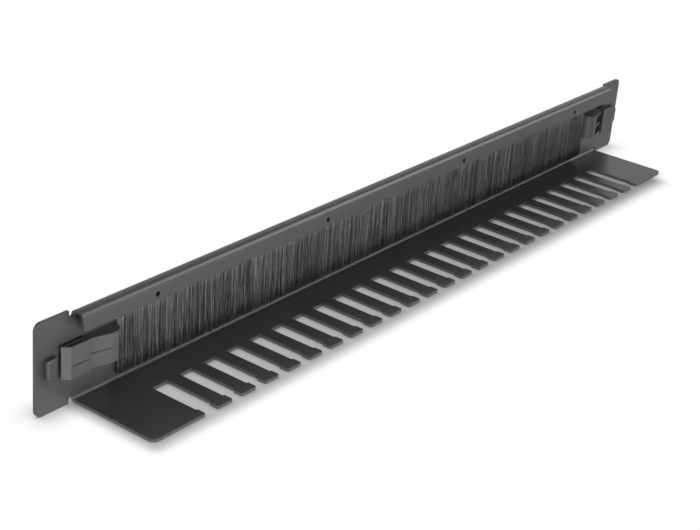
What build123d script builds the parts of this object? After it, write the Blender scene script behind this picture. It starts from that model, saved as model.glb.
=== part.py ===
"""Rack brush strip panel for one 19 inch rack unit: a folded sheet with a brush and a cable comb.

Millimetres. X runs along the width, Y from the front face towards the rear, Z up.
The sheet's front face looks towards -Y. The origin is under the middle of the part's box.
Left and right are as seen from the front, so the right end lies towards +X.
"""
from build123d import *
import math
import os

# Standard rack sizes that the panel fits: the hole's middle is measured from the panel's end,
# and the rail's inner edge from the hole's middle
panel_width = 482.6
panel_height = 43.7
hole_inset = 8.75
rail_edge = 7.55
square_hole = 9.5
rail_thickness = 2.0
rail_clearance = 0.1

# Folded sheet
sheet = 1.5
bend_inner = 1.5
bend_outer = bend_inner + sheet
ear_corner = 3.5
fold_margin = 4.5
relief_width = 2.4
relief_depth = 3.0
relief_corner = 0.8

# Channel at the top edge, which holds the brush
channel_depth = 7.5
channel_drop = 8.6
flap_corner = 2.5

# Window that the brush covers, a little narrower than the brush
window_bottom = 5.0
window_top_margin = 9.0
window_corner = 2.0
window_overlap = 3.0

# Cable comb at the bottom edge
shelf_depth = 48.5
shelf_corner = 3.0
slot_count = 25
slot_width = 8.0
last_slot_width = 9.6
slot_start = 18.2
end_plate = 30.3
head_length = 4.8
head_overhang = 0.9
head_corner = 0.8

# Brush strip: crimped steel holder, core wire and nylon bristles
brush_clip_gap = 1.2
holder_thickness = 3.0
holder_height = 7.0
holder_sheet = 0.5
holder_pinch = 0.25
pinch_height = 1.75
wire_diameter = 1.0
wire_drop = 1.6
wire_overhang = 1.0
fit_clearance = 0.1
bristle_tip = 3.6
tuft_count = 160
flute_depth = 0.25
tip_splay = 0.7
tip_variation = 0.8
tip_waves = ((1.0, 2.4), (0.6, 5.3))

# Set screws that press the holder against the sheet
screw_diameter = 2.5
screw_socket = 1.3
socket_depth = 1.2
screw_chamfer = 0.2
screw_recess = 0.3
screw_inset = 20.0
screw_count = 4
screw_drop = 5.6

# Locating peg pressed out of each ear, which enters the rail's square hole
peg_width = 5.6
peg_clearance = 0.15
peg_projection = 3.0
peg_wall = 1.1
peg_edge = 1.0

# Moulded snap clip on each ear
clip_rise = 0.9
clip_height = 14.2
base_length = 17.5
hook_length = 13.8
hook_reach = 4.5
base_depth = 7.1
hook_depth = 5.4
seam_step = 1.2
strip_width = 2.3
hook_extra_height = 0.5
clip_wall = 1.1
base_round = 4.4
hook_ramp = 2.8
spring_slot = 1.2
seam_gap = 0.35
groove_width = 0.5
groove_depth = 0.35
groove_drop = 1.6
pocket_rib = 1.4
lug_width = 1.6
lug_height = 8.0
lug_inset = 1.8
lug_recess = 0.2
cut_margin = 1.0

hole_spacing = panel_width - 2 * hole_inset
rail_opening = hole_spacing - 2 * rail_edge
fold_length = rail_opening - 2 * fold_margin
half_fold = fold_length / 2
flap_bottom = panel_height - channel_drop
flap_inner = channel_depth - sheet
window_top = panel_height - window_top_margin

clip_outer = rail_opening / 2 + hook_reach
clip_seam = clip_outer - hook_length
clip_inner = clip_seam - base_length
clip_middle = panel_height / 2 + clip_rise
clip_low = clip_middle - clip_height / 2
clip_high = clip_middle + clip_height / 2
hook_front = sheet + rail_thickness + rail_clearance
hook_rear = sheet + hook_depth
hook_ramp_start = clip_outer - hook_ramp
base_rear = sheet + base_depth
base_slope_start = clip_inner + base_round + strip_width
seam_rear = hook_rear - seam_step

brush_half = clip_inner - brush_clip_gap
window_half = brush_half - window_overlap
brush_length = 2 * brush_half
screw_spacing = (brush_length - 2 * screw_inset) / (screw_count - 1)
brush_middle = sheet + holder_thickness / 2
holder_top = panel_height - sheet - fit_clearance
holder_bottom = holder_top - holder_height
root_top = holder_top - holder_sheet - fit_clearance
hanging_top = holder_bottom - fit_clearance
origin_shift = Location((0, -shelf_depth / 2, 0))


def box(x0, x1, y0, y1, z0, z1):
    """A block between two opposite corners."""
    return Pos((x0 + x1) / 2, (y0 + y1) / 2, (z0 + z1) / 2) * Box(x1 - x0, y1 - y0, z1 - z0)


def at_end(side, shape):
    """The shape as made for the right end, or its mirror image for the left end."""
    return shape if side > 0 else mirror(shape, about=Plane.YZ)


def along_width(length, outline):
    """Carries a closed outline, whose points are (y, z), along the width by the given length."""
    return extrude(Plane.YZ.offset(-length / 2) * make_face(outline), amount=length)


def prism(points, low, high):
    """A block with the given outline in plan, between two heights."""
    plan = make_face(Polyline(*points, close=True))
    return extrude(Plane.XY.offset(low) * plan, amount=high - low)


# Front wall with its ears: a flat plate with round corners and a relief beside each fold
def front_wall():
    with BuildSketch(Plane.XZ) as outline:
        with Locations((0, panel_height / 2)):
            RectangleRounded(panel_width, panel_height, ear_corner)
        with Locations((0, bend_outer / 2), (0, panel_height - bend_outer / 2)):
            Rectangle(fold_length, bend_outer, mode=Mode.SUBTRACT)
        for x in (-half_fold - relief_width / 2, half_fold + relief_width / 2):
            with Locations((x, relief_depth / 2), (x, panel_height - relief_depth / 2)):
                Rectangle(relief_width, relief_depth, mode=Mode.SUBTRACT)
        relief_end = half_fold + relief_width
        for x in (-relief_end, relief_end):
            for height in (relief_depth, panel_height - relief_depth):
                fillet(outline.vertices().sort_by_distance((x, height, 0))[0], relief_corner)
    return extrude(outline.sketch, amount=-sheet)


# Bends, channel and the solid strip of the shelf: one section carried along the width
def folded_section():
    outer = [(slot_start, 0), (0, 0), (0, panel_height),
             (channel_depth, panel_height), (channel_depth, flap_bottom)]
    inner = [(flap_inner, flap_bottom), (flap_inner, panel_height - sheet),
             (sheet, panel_height - sheet), (sheet, sheet), (slot_start, sheet)]
    outline = FilletPolyline(*outer, radius=bend_outer) + Line(outer[-1], inner[0])
    outline += FilletPolyline(*inner, radius=bend_inner) + Line(inner[-1], outer[0])
    section = along_width(fold_length, outline)
    flap_ends = section.edges().filter_by(Axis.Y).filter_by_position(Axis.Z, flap_bottom, flap_bottom)
    return fillet(flap_ends, flap_corner)


# Comb: two wide end plates and a row of fingers with T-shaped heads
def slot_places():
    """Centre and width of each slot. The rightmost one is wider than the others."""
    first_edge = -half_fold + end_plate
    pitch = (fold_length - 2 * end_plate - last_slot_width) / (slot_count - 1)
    widths = [slot_width] * (slot_count - 1) + [last_slot_width]
    return [(first_edge + index * pitch + width / 2, width) for index, width in enumerate(widths)]


def comb():
    neck_end = shelf_depth - head_length
    with BuildSketch() as plan:
        with Locations((0, (slot_start + shelf_depth) / 2)):
            Rectangle(fold_length, shelf_depth - slot_start)
        for centre, width in slot_places():
            with Locations((centre, (slot_start + neck_end) / 2)):
                Rectangle(width, neck_end - slot_start, mode=Mode.SUBTRACT)
            with Locations((centre, (neck_end + shelf_depth) / 2)):
                Rectangle(width - 2 * head_overhang, head_length, mode=Mode.SUBTRACT)
        rear_corners = plan.vertices().group_by(Axis.Y)[-1].sort_by(Axis.X)
        fillet(rear_corners[1:-1], head_corner)
        fillet(plan.vertices().group_by(Axis.X)[0].sort_by(Axis.Y)[-1], shelf_corner)
        fillet(plan.vertices().group_by(Axis.X)[-1].sort_by(Axis.Y)[-1], shelf_corner)
    return extrude(plan.sketch, amount=sheet)


# Peg: a hollow boss pressed rearwards out of the ear, at the rail's middle square hole
def peg_block(inset, rear):
    outer_x = hole_spacing / 2 + square_hole / 2 - peg_clearance
    height = square_hole - 2 * peg_clearance
    middle = panel_height / 2
    return box(outer_x - peg_width + inset, outer_x - inset, 0, rear,
               middle - height / 2 + inset, middle + height / 2 - inset)


def peg():
    boss = peg_block(0, sheet + peg_projection)
    rear_rim = boss.faces().sort_by(Axis.Y)[-1].edges()
    return fillet(boss.edges().filter_by(Axis.Y) + rear_rim, peg_edge)


def peg_hollow():
    return peg_block(peg_wall, sheet + peg_projection - peg_wall)


def lug(grow, front, rear):
    """The clip's two lugs, which fill slots in the sheet."""
    places = (clip_inner + lug_inset, clip_seam - lug_inset - lug_width)
    return [box(x - grow, x + lug_width + grow, front, rear,
                clip_middle - lug_height / 2 - grow, clip_middle + lug_height / 2 + grow) for x in places]


def screw_places():
    first = -(screw_count - 1) / 2 * screw_spacing
    return [first + index * screw_spacing for index in range(screw_count)]


def folded_panel():
    body = front_wall() + folded_section() + comb()
    window = box(-window_half, window_half, -cut_margin, sheet + cut_margin, window_bottom, window_top)
    body -= fillet(window.edges().filter_by(Axis.Y), window_corner)
    hole = Cylinder((screw_diameter + fit_clearance) / 2, sheet + 2 * cut_margin, rotation=(90, 0, 0))
    for x in screw_places():
        body -= Pos(x, channel_depth - sheet / 2, panel_height - screw_drop) * hole
    for side in (-1, 1):
        body += at_end(side, peg())
        body -= at_end(side, peg_hollow())
        for slot in lug(fit_clearance, -cut_margin, sheet + cut_margin):
            body -= at_end(side, slot)
    return body


# Brush holder: a U of thin steel, pinched over the bristles at its lower lips
def holder_outline(half, top, pinched_half):
    """Closed outline of a U's outside or inside, about the brush's middle plane."""
    right = [(half, top), (half, holder_bottom + pinch_height), (pinched_half, holder_bottom)]
    left = [(-y, z) for y, z in reversed(right)]
    return [(brush_middle + y, z) for y, z in right + left]


def holder_shape(half, top, pinched_half, round_top):
    block = along_width(brush_length, Polyline(*holder_outline(half, top, pinched_half), close=True))
    crown = block.edges().filter_by(Axis.X).group_by(Axis.Z)[-1]
    return fillet(crown, round_top)


def brush_holder():
    outer_half = holder_thickness / 2
    inner_half = outer_half - holder_sheet
    outside = holder_shape(outer_half, holder_top, outer_half, outer_half - fit_clearance)
    inside = holder_shape(inner_half, holder_top - holder_sheet, inner_half - holder_pinch,
                          inner_half - fit_clearance)
    return outside - inside


# Core wire that the bristles are folded over
def core_wire(diameter, length):
    return Pos(0, brush_middle, root_top - wire_drop) * Cylinder(diameter / 2, length, rotation=(0, 90, 0))


# Bristles: a fluted curtain with uneven tips, its root folded over the wire in the holder
def curtain_outline(half):
    """Closed zigzag outline in plan, with one flute to each tuft on both faces."""
    step = brush_length / tuft_count
    starts = [-brush_half + index * step for index in range(tuft_count)]
    front = [point for x in starts for point in ((x, -half), (x + step / 2, -half + flute_depth))]
    rear = [point for x in starts for point in ((x, half - flute_depth), (x + step / 2, half))]
    front.append((brush_half, -half))
    rear.append((brush_half, half - flute_depth))
    return [(x, brush_middle + y) for x, y in front + rear[::-1]]


def tip_height(index):
    """Height of one tuft's tip, from a sum of waves that never repeats along the brush."""
    total = sum(strength * math.sin(turn * index) for strength, turn in tip_waves)
    span = sum(strength for strength, turn in tip_waves)
    return bristle_tip + tip_variation * (1 + total / span) / 2


def tip_outline():
    """Outline in elevation of what the tips leave, from the brush's top down to the tips."""
    step = brush_length / tuft_count
    points = [(-brush_half, hanging_top)]
    for index in range(tuft_count):
        x = -brush_half + index * step
        points += [(x, tip_height(index) + flute_depth), (x + step / 2, tip_height(index))]
    return points + [(brush_half, tip_height(tuft_count)), (brush_half, hanging_top)]


def brush_bristles():
    root_half = holder_thickness / 2 - holder_sheet - fit_clearance
    neck_half = root_half - holder_pinch
    root = holder_shape(root_half, root_top, neck_half, root_half - fit_clearance)
    root -= core_wire(wire_diameter + fit_clearance, brush_length + 2 * cut_margin)
    sections = []
    for height, half in ((hanging_top, neck_half), (bristle_tip, neck_half + tip_splay)):
        plan = make_face(Polyline(*curtain_outline(half), close=True))
        sections.append((Plane.XY.offset(height) * plan).face())
    curtain = loft(sections, ruled=True)
    elevation = make_face(Polyline(*tip_outline(), close=True))
    curtain &= extrude(Plane.XZ * elevation, amount=-shelf_depth)
    neck = box(-brush_half, brush_half, brush_middle - neck_half + flute_depth,
               brush_middle + neck_half - flute_depth, hanging_top - cut_margin, holder_bottom)
    return root + neck + curtain


# Set screw: hexagon socket, flat point against the holder
def set_screw(x):
    tip = sheet + holder_thickness
    length = channel_depth - screw_recess - tip
    body = Cylinder(screw_diameter / 2, length)
    body = chamfer(body.edges().filter_by(GeomType.CIRCLE), screw_chamfer)
    with BuildSketch(Plane.XY.offset(length / 2)) as key:
        RegularPolygon(screw_socket / 2, 6, major_radius=False)
    body -= extrude(key.sketch, amount=-socket_depth)
    return Pos(x, tip + length / 2, panel_height - screw_drop) * Rot(-90, 0, 0) * body


# Snap clip: a base seated on the sheet and a spring hook that reaches behind the rack rail
def clip_base():
    """Base: a round inner end, a flat strip, then a rear face that falls to the seam."""
    plan = [(clip_inner, sheet), (clip_seam, sheet), (clip_seam, seam_rear),
            (base_slope_start, base_rear), (clip_inner, base_rear)]
    block = prism(plan, clip_low, clip_high)
    inner_edge = block.edges().filter_by(Axis.Z).sort_by(Axis.X)[:2].sort_by(Axis.Y)[-1]
    return fillet(inner_edge, base_round)


def clip_hook():
    """Hook: clear of the sheet by the rail's thickness, with a ramp at its end.

    A slot and a thin gap at the seam part its rear wall from the rest, which lets it flex.
    """
    low = clip_low - hook_extra_height
    high = clip_high + hook_extra_height
    block = box(clip_seam, clip_outer, hook_front, hook_rear, low, high)
    outer_edge = block.edges().filter_by(Axis.Z).sort_by(Axis.X)[-2:].sort_by(Axis.Y)[-1]
    block = chamfer(outer_edge, hook_ramp)
    wall_front = hook_rear - clip_wall
    block -= box(clip_seam - cut_margin, hook_ramp_start, wall_front - spring_slot, wall_front,
                 low - cut_margin, high + cut_margin)
    return block - box(clip_seam - cut_margin, clip_seam + seam_gap, wall_front - spring_slot,
                       hook_rear + cut_margin, low - cut_margin, high + cut_margin)


def pockets(front, rear):
    """Two cored pockets in the base with a rib between them."""
    end = clip_seam - clip_wall
    heights = ((clip_low + clip_wall, clip_middle - pocket_rib / 2),
               (clip_middle + pocket_rib / 2, clip_high - clip_wall))
    return [box(base_slope_start, end, front, rear, low, high) for low, high in heights]


def parting_grooves():
    """Thin grooves in the rear faces: one at half height in the base, one a little lower in the hook."""
    rear = base_rear + cut_margin
    end = hook_ramp_start - clip_wall
    on_base = [(base_slope_start, rear), (clip_seam, rear),
               (clip_seam, seam_rear - groove_depth), (base_slope_start, base_rear - groove_depth)]
    on_hook = [(clip_seam + cut_margin, rear), (end, rear),
               (end, hook_rear - groove_depth), (clip_seam + cut_margin, hook_rear - groove_depth)]
    low = clip_middle - groove_width / 2
    high = clip_middle + groove_width / 2
    return [prism(on_base, low, high), prism(on_hook, low - groove_drop, high - groove_drop)]


def clip(side):
    """Both clips share their outline. The left one shows its cored side to the rear."""
    base = clip_base()
    if side > 0:
        cores = pockets(sheet - cut_margin, seam_rear - clip_wall)
    else:
        cores = pockets(sheet + clip_wall, base_rear + cut_margin)
    for core in cores:
        base -= core
    body = base + clip_hook()
    if side > 0:
        for groove in parting_grooves():
            body -= groove
    for piece in lug(0, lug_recess, sheet + groove_depth):
        body += piece
    return at_end(side, body)


os.makedirs("parts", exist_ok=True)
pieces = {
    "folded_panel": folded_panel(),
    "brush_holder": brush_holder(),
    "brush_core_wire": core_wire(wire_diameter, brush_length + 2 * wire_overhang),
    "brush_bristles": brush_bristles(),
    "clip_right": clip(1),
    "clip_left": clip(-1),
}
for number, x in enumerate(screw_places(), start=1):
    pieces[f"set_screw_{number}"] = set_screw(x)
for name, piece in pieces.items():
    placed = origin_shift * piece
    export_step(placed, f"parts/{name}.step")
    print(name, round(placed.volume, 1), placed.bounding_box())
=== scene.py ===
"""Looks of a rack brush strip panel: powder-coated folded sheet, nylon brush, cable comb and clips.

Metres, in the part's own frame: X along the width, Y towards the rear, Z up.
"""
import math

import bpy
import numpy as np
from mathutils import Matrix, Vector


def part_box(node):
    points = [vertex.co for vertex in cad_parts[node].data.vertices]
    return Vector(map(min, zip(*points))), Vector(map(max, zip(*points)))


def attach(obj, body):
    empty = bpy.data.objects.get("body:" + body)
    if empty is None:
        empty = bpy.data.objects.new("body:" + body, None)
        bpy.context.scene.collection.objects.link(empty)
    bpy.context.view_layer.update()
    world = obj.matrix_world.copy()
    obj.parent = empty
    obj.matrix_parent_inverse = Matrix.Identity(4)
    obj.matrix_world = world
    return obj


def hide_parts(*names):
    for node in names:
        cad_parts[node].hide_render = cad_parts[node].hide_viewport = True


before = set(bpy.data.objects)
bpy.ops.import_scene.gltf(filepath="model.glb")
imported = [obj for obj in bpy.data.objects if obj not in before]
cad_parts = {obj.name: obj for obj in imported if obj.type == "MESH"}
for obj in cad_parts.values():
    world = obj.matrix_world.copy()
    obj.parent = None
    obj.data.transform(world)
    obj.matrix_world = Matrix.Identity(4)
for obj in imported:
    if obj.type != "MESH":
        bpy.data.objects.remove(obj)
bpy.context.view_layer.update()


# The camera stands behind and above the right-hand end, as for a catalogue photograph of the panel. It is
# a long lens with a little roll, which keeps the near end's upright edges upright in the picture.
camera_azimuth = math.radians(125.43)
camera_elevation = math.radians(25.04)
camera_roll = math.radians(5.2)
camera_place = (0.6263, 0.4020, 0.3444)
camera_lens = 81.79
camera_sensor = 36.0
camera_reach = 100.0

back = np.array([math.sin(camera_azimuth) * math.cos(camera_elevation),
                 -math.cos(camera_azimuth) * math.cos(camera_elevation),
                 math.sin(camera_elevation)])
level_right = np.cross([0, 0, 1], back)
level_right /= np.linalg.norm(level_right)
level_up = np.cross(back, level_right)
right = level_right * math.cos(camera_roll) + level_up * math.sin(camera_roll)
up = level_up * math.cos(camera_roll) - level_right * math.sin(camera_roll)
camera = bpy.data.objects.new("camera", bpy.data.cameras.new("camera"))
bpy.context.scene.collection.objects.link(camera)
camera.data.sensor_width = camera_sensor
camera.data.lens = camera_lens
camera.matrix_world = Matrix([[right[row], up[row], back[row], camera_place[row]] for row in range(3)]
                             + [[0, 0, 0, 1]])
camera.data.clip_end = camera_reach
bpy.context.scene.camera = camera
bpy.context.scene.view_settings.view_transform = "Standard"


# The room has white walls and a dim ceiling, so that upright faces get the most light and the flat comb
# stays dark. The ceiling is dim in reflections too, which draws a dark line along the rounded fold.
wall_strength = 0.84
ceiling_strength = 0.08
wall_top = 0.38
mirrored_ceiling = 0.45
mirrored_wall_top = (0.36, 0.6)


def add_node(tree, kind, settings=None, **inputs):
    """Adds a node, sets its properties, and sets or links the inputs given by name or place."""
    node = tree.nodes.new("ShaderNode" + kind)
    for name, value in (settings or {}).items():
        setattr(node, name, value)
    for name, value in inputs.items():
        socket = node.inputs[int(name[1:])] if name[0] == "_" else node.inputs[name.replace("_", " ")]
        if isinstance(value, bpy.types.NodeSocket):
            tree.links.new(value, socket)
        else:
            socket.default_value = value
    return node


def empty_tree(owner):
    """The owner's node tree with nothing in it."""
    owner.use_nodes = True
    owner.node_tree.nodes.clear()
    return owner.node_tree


def linear(code):
    """A colour written as sRGB hex, as linear red, green, blue and alpha."""
    parts = [int(code[place:place + 2], 16) / 255 for place in (1, 3, 5)]
    return [part / 12.92 if part <= 0.04045 else ((part + 0.055) / 1.055) ** 2.4 for part in parts] + [1.0]


def seen_or_mirrored(tree):
    """1 for a ray from the camera, off a glossy surface or through a clear one, and 0 for any other."""
    path = add_node(tree, "LightPath")
    either = add_node(tree, "Math", {"operation": "MAXIMUM"},
                      _0=path.outputs["Is Camera Ray"], _1=path.outputs["Is Glossy Ray"])
    return add_node(tree, "Math", {"operation": "MAXIMUM"},
                    _0=either.outputs[0], _1=path.outputs["Is Transmission Ray"]).outputs[0]


world = bpy.data.worlds.new("white_studio")
bpy.context.scene.world = world
tree = empty_tree(world)
direction = add_node(tree, "TexCoord")
height = add_node(tree, "SeparateXYZ", Vector=direction.outputs["Generated"])
wall = add_node(tree, "MapRange", {"interpolation_type": "SMOOTHSTEP"}, Value=height.outputs["Z"],
                From_Min=0.0, From_Max=wall_top, To_Min=wall_strength, To_Max=ceiling_strength)
room = add_node(tree, "Background", Color=linear("#ffffff"), Strength=wall.outputs["Result"])
path = add_node(tree, "LightPath")
above = add_node(tree, "MapRange", {"interpolation_type": "SMOOTHSTEP"}, Value=height.outputs["Z"],
                 From_Min=mirrored_wall_top[0], From_Max=mirrored_wall_top[1],
                 To_Min=1.0, To_Max=mirrored_ceiling)
lit_above = add_node(tree, "Math", {"operation": "MAXIMUM"},
                     _0=above.outputs["Result"], _1=path.outputs["Is Camera Ray"])
white = add_node(tree, "Background", Color=linear("#ffffff"), Strength=lit_above.outputs[0])
sky = add_node(tree, "MixShader", _0=seen_or_mirrored(tree), _1=room.outputs[0], _2=white.outputs[0])
add_node(tree, "OutputWorld", Surface=sky.outputs[0])


# The floor is white paper. Under the comb and close around it a painted shade stands for the light that
# the panel hides: it fills the slots and fades out beyond the tips, deeper and wider towards the left-hand
# end, and a thin painted dark line follows every edge that touches the paper.
floor_half = 6.0
paper_colour = "#e8e8e8"
contact_reach = 0.014
comb_half_length = 0.2125
comb_middle = 0.008
comb_half_depth = 0.0253
shade_left, shade_right = 0.30, 0.52
fade_left, fade_right = 0.014, 0.009
mirrored_floor = 0.75

mesh = bpy.data.meshes.new("floor")
mesh.from_pydata([(-floor_half, -floor_half, 0), (floor_half, -floor_half, 0),
                  (floor_half, floor_half, 0), (-floor_half, floor_half, 0)], [], [(0, 1, 2, 3)])
floor = bpy.data.objects.new("floor", mesh)
bpy.context.scene.collection.objects.link(floor)
paper = bpy.data.materials.new("white_paper")
tree = empty_tree(paper)
contact = add_node(tree, "AmbientOcclusion", {"samples": 16}, Distance=contact_reach)
place = add_node(tree, "TexCoord").outputs["Object"]
spot = add_node(tree, "VectorMath", {"operation": "SUBTRACT"}, _0=place, _1=(comb_middle, 0.0, 0.0)).outputs[0]
aside = add_node(tree, "VectorMath", {"operation": "ABSOLUTE"}, _0=spot)
beyond = add_node(tree, "VectorMath", {"operation": "SUBTRACT"}, _0=aside.outputs[0],
                  _1=(comb_half_length, comb_half_depth, 0.0))
outside = add_node(tree, "VectorMath", {"operation": "MAXIMUM"}, _0=beyond.outputs[0], _1=(0.0, 0.0, 0.0))
away = add_node(tree, "VectorMath", {"operation": "LENGTH"}, _0=outside.outputs[0])
along = add_node(tree, "SeparateXYZ", Vector=spot).outputs["X"]
ends = {"From_Min": -comb_half_length, "From_Max": comb_half_length}
least = add_node(tree, "MapRange", Value=along, To_Min=shade_left, To_Max=shade_right, **ends)
fade = add_node(tree, "MapRange", Value=along, To_Min=fade_left, To_Max=fade_right, **ends)
soft = add_node(tree, "MapRange", {"interpolation_type": "SMOOTHSTEP"}, Value=away.outputs["Value"],
                From_Min=0.0, From_Max=fade.outputs["Result"], To_Min=least.outputs["Result"], To_Max=1.0)
shade = add_node(tree, "Math", {"operation": "MULTIPLY"}, _0=contact.outputs["AO"], _1=soft.outputs["Result"])
mirror = add_node(tree, "LightPath").outputs["Is Glossy Ray"]
shade = add_node(tree, "MapRange", Value=mirror, To_Min=shade.outputs[0], To_Max=mirrored_floor)
lit = add_node(tree, "BsdfDiffuse", Color=linear(paper_colour))
glow = add_node(tree, "Emission", Color=linear("#ffffff"), Strength=shade.outputs[0])
blend = add_node(tree, "MixShader", _0=seen_or_mirrored(tree), _1=lit.outputs[0], _2=glow.outputs[0])
add_node(tree, "OutputMaterial", Surface=blend.outputs[0])
floor.data.materials.append(paper)


# Two low softboxes near the right-hand end light the upright faces and the ends of the clips. A large one
# beyond the left-hand end is only there to be mirrored: it draws the bright line along the bends.
def softbox(name, place, aim, size, power):
    """A square softbox at one place that faces another."""
    lamp = bpy.data.lights.new(name, "AREA")
    lamp.shape = "SQUARE"
    lamp.size = size
    lamp.energy = power
    away = np.array(place) - np.array(aim)
    away /= np.linalg.norm(away)
    side = np.cross([0, 0, 1], away)
    side /= np.linalg.norm(side)
    top = np.cross(away, side)
    holder = bpy.data.objects.new(name, lamp)
    bpy.context.scene.collection.objects.link(holder)
    holder.matrix_world = Matrix([[side[row], top[row], away[row], place[row]] for row in range(3)]
                                 + [[0, 0, 0, 1]])
    return holder


softbox("near_softbox", place=(0.45, 0.5, 0.08), aim=(0.24, 0.0, 0.02), size=0.3, power=4.4)
softbox("end_softbox", place=(0.95, 0.12, 0.08), aim=(0.24, 0.0, 0.01), size=0.3, power=2.2)
mirrored = softbox("mirrored_softbox", place=(-1.7, 1.0, 1.25), aim=(0.0, 0.0, 0.02), size=1.2, power=17.0)
mirrored.visible_diffuse = False


# Folded panel: one steel sheet, punched and bent, with a black polyester powder coat baked on. The coat
# is smooth, with a faint orange peel of bumps 1.4 mm apart and patches 17 mm wide that are a little duller.
# It rounds the sheet's sheared rims and mirrors the bright room at a low angle.
coat_colour = "#474748"
coat_roughness = (0.30, 0.36)
coat_rim = 0.00035
# Within this reach the coat's colour is painted darker in the fold, the bends and corners: painted shade.
coat_shade_reach = 0.012
peel_scale = 700.0
peel_height = 0.0001
patch_scale = 60.0


def painted_crease_shade(tree, colour, reach, depth):
    """A colour painted darker, as painted shade, in gaps and corners narrower than the given reach, where no
    light gets in.
    """
    openness = add_node(tree, "AmbientOcclusion", {"samples": 8, "only_local": True}, Distance=reach)
    power = add_node(tree, "Math", {"operation": "POWER"}, _0=openness.outputs["AO"], _1=depth)
    return add_node(tree, "MixRGB", Fac=power.outputs[0], Color1=linear("#000000"), Color2=colour).outputs[0]


def powder_coat():
    """Black satin powder coat: a dark plastic film with a fine uneven skin, and painted shade in its corners."""
    material = bpy.data.materials.new("black_satin_powder_coat")
    tree = empty_tree(material)
    place = add_node(tree, "TexCoord").outputs["Object"]
    peel = add_node(tree, "TexNoise", Vector=place, Scale=peel_scale, Detail=2.0, Roughness=0.5)
    patches = add_node(tree, "TexNoise", Vector=place, Scale=patch_scale, Detail=3.0, Roughness=0.6)
    rough = add_node(tree, "MapRange", Value=patches.outputs[0], From_Min=0.3, From_Max=0.7,
                     To_Min=coat_roughness[0], To_Max=coat_roughness[1])
    rim = add_node(tree, "Bevel", {"samples": 4}, Radius=coat_rim)
    bump = add_node(tree, "Bump", Strength=0.12, Distance=peel_height, Height=peel.outputs[0],
                    Normal=rim.outputs[0])
    skin = add_node(tree, "BsdfPrincipled", Base_Color=painted_crease_shade(tree, linear(coat_colour), coat_shade_reach, 1.0),
                    Roughness=rough.outputs[0], IOR=1.5, Normal=bump.outputs[0])
    add_node(tree, "OutputMaterial", Surface=skin.outputs[0])
    return material


def dress(node, material):
    """Gives a CAD node's object one material, and shades its flat faces flat up to their edges."""
    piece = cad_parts[node]
    piece.data.materials.clear()
    piece.data.materials.append(material)
    piece.modifiers.new("even_shading", "WEIGHTED_NORMAL").keep_sharp = True
    return piece


dress("folded_panel", powder_coat())


# Brush holder and core wire: the crimped zinc-plated channel and the drawn wire that hold the bristles.
# They lie inside the fold, so that little of them shows. Drawing leaves lines 1.1 mm apart and 50 mm long
# in the steel, coarser than the real ones.
lines_along = 20
lines_across = 900
line_roughness = 0.08


def plated_steel(name, code, roughness):
    """Bare or plated steel with fine lines along its length."""
    material = bpy.data.materials.new(name)
    tree = empty_tree(material)
    place = add_node(tree, "TexCoord").outputs["Object"]
    stretched = add_node(tree, "Mapping", Vector=place, Scale=(lines_along, lines_across, lines_across))
    lines = add_node(tree, "TexNoise", Vector=stretched.outputs[0], Scale=1.0, Detail=2.0)
    rough = add_node(tree, "MapRange", Value=lines.outputs[0],
                     To_Min=roughness - line_roughness, To_Max=roughness + line_roughness)
    skin = add_node(tree, "BsdfPrincipled", Base_Color=linear(code), Metallic=1.0, Roughness=rough.outputs[0])
    add_node(tree, "OutputMaterial", Surface=skin.outputs[0])
    return material


dress("brush_holder", plated_steel("zinc_plated_steel", "#b9bcbf", 0.35))
dress("brush_core_wire", plated_steel("drawn_steel_wire", "#a8a8a8", 0.3))


# Bristles: extruded black nylon filaments folded over the core wire. They hang as a curtain three rows
# deep, dense at the root and looser at the tips, where they gather in small tufts and a few stand off.
# Each filament is 0.18 mm thick, a usual gauge for such a brush.
brush_low, brush_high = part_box("brush_bristles")
holder_low, holder_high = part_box("brush_holder")
rows = {"rear": 1, "middle": 0, "front": -1}
filaments_in_row = 6200
filament_radius = 0.00009
filament_taper = 0.35
filament_sides = 3
filament_rings = 6
root_inset = 0.0006
root_half = 0.00055
tip_half = 0.0013
row_inner = 0.55
row_scatter = 0.00012
tuft_spacing = 0.0013
tuft_wander = 0.4
tuft_scramble = 7919.0
tuft_pull = 0.12
lean_scatter = 0.0006
stray_share = 0.03
stray_lean = 2.0
tip_inset = 0.0004
tip_scatter = 0.0014
tip_fray = 0.0006
nylon_dark, nylon_light = "#1c1c1d", "#909093"
chance = np.random.default_rng(7)


def filament_mesh(name, paths, radii):
    """Tubes along many paths at once.

    Point k of a ring is the path's point plus the radius times (cos a, sin a, 0), where a is k thirds of a
    turn plus the filament's own spin. Each ring is joined to the next by quads, and both ends are closed.
    """
    count, rings, _ = paths.shape
    turn = np.arange(filament_sides) * 2 * math.pi / filament_sides
    spin = chance.uniform(0, 2 * math.pi, (count, 1, 1))
    angle = turn[None, None, :] + spin
    ring = np.stack([np.cos(angle), np.sin(angle), 0 * angle], -1)
    points = paths[:, :, None, :] + ring * radii[:, :, None, None]
    start = (np.arange(count) * rings * filament_sides)[:, None, None]
    ring_start = start + (np.arange(rings - 1) * filament_sides)[None, :, None]
    side = np.arange(filament_sides)[None, None, :]
    following = (side + 1) % filament_sides
    quads = np.stack([ring_start + side, ring_start + following,
                      ring_start + filament_sides + following, ring_start + filament_sides + side], -1)
    first = start[:, :, 0] + np.arange(filament_sides)[None, ::-1]
    last = start[:, :, 0] + (rings - 1) * filament_sides + np.arange(filament_sides)[None, :]
    mesh = bpy.data.meshes.new(name)
    mesh.from_pydata(points.reshape(-1, 3), [], quads.reshape(-1, 4).tolist() + first.tolist() + last.tolist())
    mesh.polygons.foreach_set("use_smooth", np.ones(len(mesh.polygons), bool))
    return mesh


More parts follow.
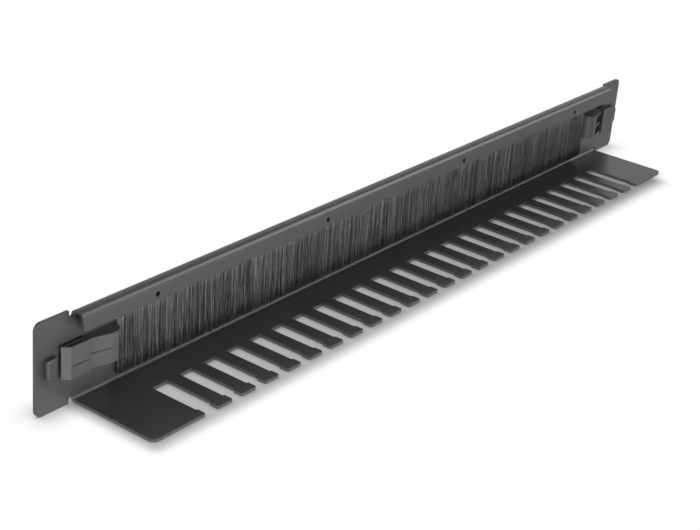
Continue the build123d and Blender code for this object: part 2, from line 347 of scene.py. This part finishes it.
def filament_paths(side, count, way):
    """Paths of one row's filaments, from the holder's mouth to the tips.

    With the way w from 0 at the root to 1 at the tip, and b = w to the power 1.6:
    across is the root's place plus b times a pull towards the nearest tuft and a random lean;
    outwards is (1 - b) times the root's depth plus b times the tip's depth;
    upwards is the straight way from the root's height to the tip's, which ends anywhere in a short band.
    Strays lean further and reach the brush's lowest point.
    """
    middle = (brush_low.y + brush_high.y) / 2
    root_top = holder_low.z + root_inset
    span = brush_high.x - brush_low.x - 2 * filament_radius
    x = brush_low.x + filament_radius + (np.arange(count) + chance.uniform(0, 1, count)) / count * span
    depth = chance.uniform(row_inner, 1.0, count)
    tuft = (np.floor(x / tuft_spacing) + 0.5) * tuft_spacing
    wander = np.sin(tuft * tuft_scramble) * tuft_spacing * tuft_wander
    pull = (tuft + wander - x) * chance.uniform(0.0, tuft_pull, count)
    lean = chance.normal(0, lean_scatter, count)
    stray = chance.uniform(0, 1, count) < stray_share
    lean = np.where(stray, lean * stray_lean, lean)
    tip = brush_low.z + tip_inset + chance.uniform(0.0, tip_scatter, count) + chance.exponential(tip_fray, count)
    tip = np.where(stray, brush_low.z, tip)
    out = side * tip_half * depth + chance.normal(0, row_scatter, count)
    bend = way ** 1.6
    px = x[:, None] + (pull + lean)[:, None] * bend
    py = middle + side * root_half * depth[:, None] * (1 - bend) + out[:, None] * bend
    pz = root_top + (tip[:, None] - root_top) * way
    px = np.clip(px, brush_low.x, brush_high.x)
    return np.stack([px, py, pz], -1)


def nylon_filament():
    """Extruded black nylon: smooth dark threads of random tone, with painted shade and painted glints."""
    material = bpy.data.materials.new("black_nylon_filament")
    tree = empty_tree(material)
    tone = add_node(tree, "Attribute", {"attribute_name": "tone"})
    colour = add_node(tree, "MixRGB", Fac=tone.outputs["Fac"],
                      Color1=linear(nylon_dark), Color2=linear(nylon_light))
    skin = add_node(tree, "BsdfPrincipled", Base_Color=colour.outputs[0], Roughness=0.42, IOR=1.53)
    add_node(tree, "OutputMaterial", Surface=skin.outputs[0])
    return material


nylon = nylon_filament()
way = np.linspace(0, 1, filament_rings)[None, :]
radii = np.tile(filament_radius * (1 - filament_taper * way ** 6), (filaments_in_row, 1))
for row, side in rows.items():
    mesh = filament_mesh("bristles_" + row, filament_paths(side, filaments_in_row, way), radii)
    # Few filaments are light; each has painted shade towards its tip, where others shade it, and painted glints.
    lightness = chance.uniform(0, 1, filaments_in_row)[:, None] ** 3.0 * (1 - 0.5 * way ** 2)
    lightness = lightness * chance.uniform(0.5, 1.5, (filaments_in_row, filament_rings))
    tone = np.repeat(lightness.ravel(), filament_sides)
    mesh.attributes.new("tone", "FLOAT", "POINT").data.foreach_set("value", tone.astype(np.float32))
    mesh.materials.append(nylon)
    piece = bpy.data.objects.new("bristles_" + row, mesh)
    bpy.context.scene.collection.objects.link(piece)
    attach(piece, "root")
    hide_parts("brush_bristles")


# Snap clips: black nylon, injection moulded, with a hook that grips the rail's edge. They are pushed
# through the ear from behind, and the tool's surface leaves a fine grain of 0.4 mm.
clip_colour = "#4e4e4f"
# Within this reach the clip's colour is painted darker in gaps and corners: painted shade.
clip_shade_reach = 0.005
grain_scale = 2500.0
grain_height = 0.00005


def moulded_nylon():
    """Satin black nylon from a finely grained mould, with painted shade in its corners."""
    material = bpy.data.materials.new("black_moulded_nylon")
    tree = empty_tree(material)
    place = add_node(tree, "TexCoord").outputs["Object"]
    grain = add_node(tree, "TexNoise", Vector=place, Scale=grain_scale, Detail=2.0)
    bump = add_node(tree, "Bump", Strength=0.15, Distance=grain_height, Height=grain.outputs[0])
    skin = add_node(tree, "BsdfPrincipled", Base_Color=painted_crease_shade(tree, linear(clip_colour), clip_shade_reach, 1.2),
                    Roughness=0.5, IOR=1.53, Normal=bump.outputs[0])
    add_node(tree, "OutputMaterial", Surface=skin.outputs[0])
    return material


nylon_block = moulded_nylon()
for side in ("left", "right"):
    dress("clip_" + side, nylon_block)


# Set screws: M2.5 steel with a hexagon socket and a black oxide finish. Four of them stand in the
# channel's flap and clamp the brush holder.
oxide = plated_steel("black_oxide_steel", "#2a2a2c", 0.4)
for number in range(1, 5):
    dress(f"set_screw_{number}", oxide)
